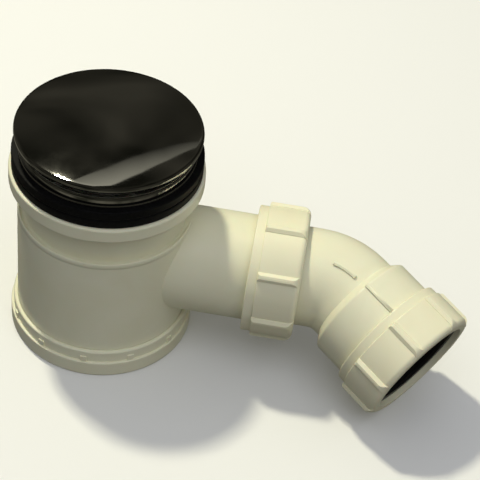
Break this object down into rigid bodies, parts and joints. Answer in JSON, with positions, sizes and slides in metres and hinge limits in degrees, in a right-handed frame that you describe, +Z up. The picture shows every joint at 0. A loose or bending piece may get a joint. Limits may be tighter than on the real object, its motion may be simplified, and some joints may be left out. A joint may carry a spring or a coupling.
{
  "type": "shower trap",
  "caption": "Shower waste trap with a chromed dome and flange, tray gaskets, round body with side branch, swivel elbow and ribbed compression nuts.",
  "frame": {"origin": "centre of the flat underside of the base cap", "axes": "+Z up the body towards the dome, +X out along the side branch"},
  "size_m": [0.2201, 0.1028, 0.1228],
  "materials": {
    "body_plastic": "satin ivory moulding",
    "base_plastic": "satin ivory moulding",
    "elbow_plastic": "satin ivory moulding",
    "nut_plastic": "satin ivory moulding",
    "insert_plastic": "matt white moulding",
    "washer_plastic": "matt natural nylon",
    "dark_washer_plastic": "matt black nylon",
    "gasket_rubber": "matt black",
    "seal_rubber": "matt black",
    "chrome": "polished chrome plate"
  },
  "bodies": {
    "body": {"trap_body": "body_plastic", "base_cap": "base_plastic", "weir_cup": "insert_plastic", "lower_gasket": "gasket_rubber", "union_seal": "seal_rubber"},
    "upper_gasket": {"top_gasket": "gasket_rubber"},
    "flange": {"waste_flange": "chrome"},
    "strainer": {"strainer_tube": "insert_plastic", "strainer_ring": "seal_rubber"},
    "cover": {"dome_cover": "chrome", "cover_carrier": "insert_plastic"},
    "elbow": {"swivel_elbow": "elbow_plastic", "outlet_seal": "seal_rubber"},
    "union_slip_washer": {"union_washer": "washer_plastic"},
    "union_nut": {"union_nut": "nut_plastic"},
    "outlet_slip_washer": {"outlet_washer": "dark_washer_plastic"},
    "outlet_nut": {"outlet_nut": "nut_plastic"}
  },
  "joints": [
    {"name": "gasket_rise", "type": "slide", "parent": "body", "child": "upper_gasket", "axis": [0, 0, 1], "range_m": [0, 0.015]},
    {"name": "flange_turn", "type": "hinge", "parent": "upper_gasket", "child": "flange", "pos_m": [0, 0, 0.1049], "axis": [0, 0, 1], "range_deg": [0, 1800]},
    {"name": "strainer_lift", "type": "slide", "parent": "flange", "child": "strainer", "axis": [0, 0, 1], "range_m": [0, 0.1]},
    {"name": "cover_lift", "type": "slide", "parent": "strainer", "child": "cover", "axis": [0, 0, 1], "range_m": [0, 0.03]},
    {"name": "elbow_swivel", "type": "hinge", "parent": "body", "child": "elbow", "pos_m": [0.0865, 0, 0.046], "axis": [1, 0, 0], "continuous": true},
    {"name": "union_washer_slide", "type": "slide", "parent": "body", "child": "union_slip_washer", "axis": [1, 0, 0], "range_m": [0, 0.006]},
    {"name": "union_nut_turn", "type": "hinge", "parent": "union_slip_washer", "child": "union_nut", "pos_m": [0.083, 0, 0.046], "axis": [1, 0, 0], "range_deg": [0, 540]},
    {"name": "outlet_washer_slide", "type": "slide", "parent": "elbow", "child": "outlet_slip_washer", "axis": [0.7771, -0.5749, -0.256], "range_m": [0, 0.02]},
    {"name": "outlet_nut_turn", "type": "hinge", "parent": "outlet_slip_washer", "child": "outlet_nut", "pos_m": [0.14744, -0.02628, 0.0343], "axis": [0.7771, -0.5749, -0.256], "range_deg": [0, 1800]}
  ],
  "couplings": [
    {"joint": "gasket_rise", "follows": "flange_turn", "m_per_rad": 0.00047746},
    {"joint": "union_washer_slide", "follows": "union_nut_turn", "m_per_rad": 0.00063662},
    {"joint": "outlet_washer_slide", "follows": "outlet_nut_turn", "m_per_rad": 0.00063662}
  ]
}
